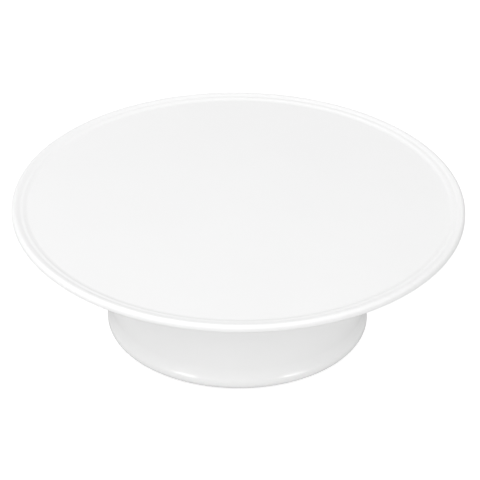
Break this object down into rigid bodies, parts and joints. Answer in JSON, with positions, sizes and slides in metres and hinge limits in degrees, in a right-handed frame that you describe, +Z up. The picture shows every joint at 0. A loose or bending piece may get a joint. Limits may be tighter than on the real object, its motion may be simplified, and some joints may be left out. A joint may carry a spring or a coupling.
{
  "type": "cake turntable",
  "caption": "Low revolving cake turntable: round white plate with a raised rim, spinning on a ring of steel balls in a hollow drum base with a rounded foot.",
  "frame": {"origin": "on the table, in the middle of the base, under the spindle", "axes": "+Z up along the spindle; X and Y level, with the clip's mouth towards +X and the feet half way between the axes"},
  "size_m": [0.2999, 0.3, 0.092],
  "materials": {
    "white_plate": "smooth satin-gloss moulded white",
    "white_shell": "glossy moulded white",
    "race_steel": "pressed steel, circular grinding lines",
    "turned_steel": "turned steel, lightly oiled",
    "zinc_screw": "bright zinc plate",
    "spring_steel": "black phosphated",
    "ball_steel": "polished",
    "acetal": "machined natural acetal",
    "cage_nylon": "moulded natural nylon",
    "foot_rubber": "matt moulded rubber"
  },
  "bodies": {
    "base": {"base_shell": "white_shell", "lower_race": "race_steel", "lower_race_screws": "zinc_screw", "upper_bush": "acetal", "lower_bush": "acetal", "rubber_foot_1": "foot_rubber", "rubber_foot_2": "foot_rubber", "rubber_foot_3": "foot_rubber", "rubber_foot_4": "foot_rubber", "foot_washers": "zinc_screw", "foot_screws": "zinc_screw"},
    "turntable": {"turntable_plate": "white_plate", "spindle": "turned_steel", "spindle_screws": "zinc_screw", "upper_race": "race_steel", "upper_race_screws": "zinc_screw", "thrust_washer": "turned_steel", "retaining_clip": "spring_steel"},
    "cage": {"ball_cage": "cage_nylon", "bearing_balls": "ball_steel"}
  },
  "joints": [
    {"name": "plate_spin", "type": "hinge", "parent": "base", "child": "turntable", "pos_m": [0, 0, 0.0774], "axis": [0, 0, 1], "continuous": true},
    {"name": "cage_spin", "type": "hinge", "parent": "base", "child": "cage", "pos_m": [0, 0, 0.0774], "axis": [0, 0, 1], "continuous": true}
  ],
  "couplings": [
    {"joint": "cage_spin", "follows": "plate_spin", "ratio": 0.5}
  ]
}
